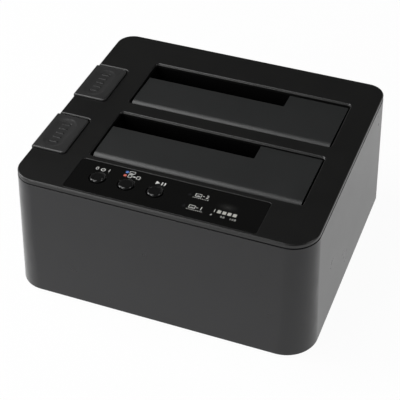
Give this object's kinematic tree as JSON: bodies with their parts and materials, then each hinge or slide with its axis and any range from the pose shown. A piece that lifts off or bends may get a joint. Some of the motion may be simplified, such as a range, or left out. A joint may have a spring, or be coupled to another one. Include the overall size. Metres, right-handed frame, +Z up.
{
  "type": "hard drive duplicator dock",
  "caption": "Low square desktop dock that holds bare hard drives upright behind sprung flaps, with eject levers and a button panel for copying a drive.",
  "frame": {"origin": "middle of the casing's footprint, at the bottom of the feet", "axes": "+X right along the front edge, +Y towards the ports at the back, +Z up"},
  "size_m": [0.1504, 0.1368, 0.0687],
  "materials": {
    "shell_plastic": "fine matt texture, black",
    "cover_plastic": "satin black",
    "flap_plastic": "satin dark grey",
    "button_plastic": "satin black",
    "panel_gloss": "polished black",
    "button_gloss": "polished black",
    "lens_blue": "clear blue",
    "lens_red": "clear red",
    "lens_smoke": "smoked",
    "lens_clear": "milky clear",
    "frame_plastic": "plain black moulding",
    "lever_plastic": "dark grey acetal",
    "steel": "bright steel",
    "spring_steel": "drawn wire",
    "screw_steel": "black zinc",
    "foot_rubber": "soft black",
    "board_green": "solder mask",
    "chip_black": "moulded epoxy",
    "capacitor_can": "bare can",
    "socket_plastic": "glass-filled black",
    "port_metal": "tinned",
    "ribbon_grey": "grey insulation",
    "connector_white": "natural nylon"
  },
  "bodies": {
    "housing": {"outer_shell": "shell_plastic", "top_cover": "cover_plastic", "base_plate": "shell_plastic", "feet": "foot_rubber", "case_screws": "screw_steel", "bay_screws": "screw_steel", "board_screws": "steel", "panel_board_screws": "screw_steel", "control_panel": "panel_gloss", "link_led_lens": "lens_blue", "copy_led_lens": "lens_red", "drive_led_lenses": "lens_smoke", "progress_bar_lens": "lens_clear", "panel_board": "board_green", "panel_switches": "chip_black", "panel_leds": "connector_white", "main_board": "board_green", "power_socket": "socket_plastic", "usb_socket": "port_metal", "esata_socket": "socket_plastic", "main_chips": "chip_black", "capacitors": "capacitor_can", "ribbon_cable": "ribbon_grey", "ribbon_connectors": "connector_white", "front_bay_frame": "frame_plastic", "front_flap_pin": "steel", "front_flap_spring": "spring_steel", "front_eject_spring": "spring_steel", "front_lever_pin": "steel", "front_drive_socket": "socket_plastic", "rear_bay_frame": "frame_plastic", "rear_flap_pin": "steel", "rear_flap_spring": "spring_steel", "rear_eject_spring": "spring_steel", "rear_lever_pin": "steel", "rear_drive_socket": "socket_plastic"},
    "front_flap": {"front_flap": "flap_plastic"},
    "front_eject_button": {"front_eject_button": "button_plastic"},
    "front_eject_lever": {"front_eject_lever": "lever_plastic"},
    "rear_flap": {"rear_flap": "flap_plastic"},
    "rear_eject_button": {"rear_eject_button": "button_plastic"},
    "rear_eject_lever": {"rear_eject_lever": "lever_plastic"},
    "power_button": {"power_button": "button_gloss"},
    "mode_button": {"mode_button": "button_gloss"},
    "start_button": {"start_button": "button_gloss"}
  },
  "joints": [
    {"name": "front_flap_hinge", "type": "hinge", "parent": "housing", "child": "front_flap", "pos_m": [0.00752, -0.03395, 0.0628], "axis": [-1, 0, 0], "range_deg": [0, 88], "stiffness_Nm_per_rad": 0.004, "springref_deg": -34.38, "deforming": ["front_flap_spring"]},
    {"name": "front_eject_slide", "type": "slide", "parent": "housing", "child": "front_eject_button", "axis": [0, 0, -1], "range_m": [0, 0.0038], "stiffness_N_per_m": 300, "springref_m": -0.004, "deforming": ["front_eject_spring"]},
    {"name": "front_lever_turn", "type": "hinge", "parent": "housing", "child": "front_eject_lever", "pos_m": [-0.055, -0.0285, 0.019], "axis": [0, -1, 0], "range_deg": [0, 24.3]},
    {"name": "rear_flap_hinge", "type": "hinge", "parent": "housing", "child": "rear_flap", "pos_m": [0.00752, 0.01185, 0.0628], "axis": [-1, 0, 0], "range_deg": [-1.5, 86.5], "stiffness_Nm_per_rad": 0.004, "springref_deg": -34.38, "deforming": ["rear_flap_spring"]},
    {"name": "rear_eject_slide", "type": "slide", "parent": "housing", "child": "rear_eject_button", "axis": [0, 0, -1], "range_m": [0, 0.0038], "stiffness_N_per_m": 300, "springref_m": -0.004, "deforming": ["rear_eject_spring"]},
    {"name": "rear_lever_turn", "type": "hinge", "parent": "housing", "child": "rear_eject_lever", "pos_m": [-0.055, 0.0173, 0.019], "axis": [0, -1, 0], "range_deg": [0, 24.3]},
    {"name": "power_button_press", "type": "slide", "parent": "housing", "child": "power_button", "axis": [0, 0, -1], "range_m": [0, 0.0006], "stiffness_N_per_m": 800, "springref_m": -0.0006},
    {"name": "mode_button_press", "type": "slide", "parent": "housing", "child": "mode_button", "axis": [0, 0, -1], "range_m": [0, 0.0006], "stiffness_N_per_m": 800, "springref_m": -0.0006},
    {"name": "start_button_press", "type": "slide", "parent": "housing", "child": "start_button", "axis": [0, 0, -1], "range_m": [0, 0.0006], "stiffness_N_per_m": 800, "springref_m": -0.0006}
  ],
  "couplings": [
    {"joint": "front_lever_turn", "follows": "front_eject_slide", "rad_per_m": 110.53},
    {"joint": "rear_lever_turn", "follows": "rear_eject_slide", "rad_per_m": 110.53}
  ]
}
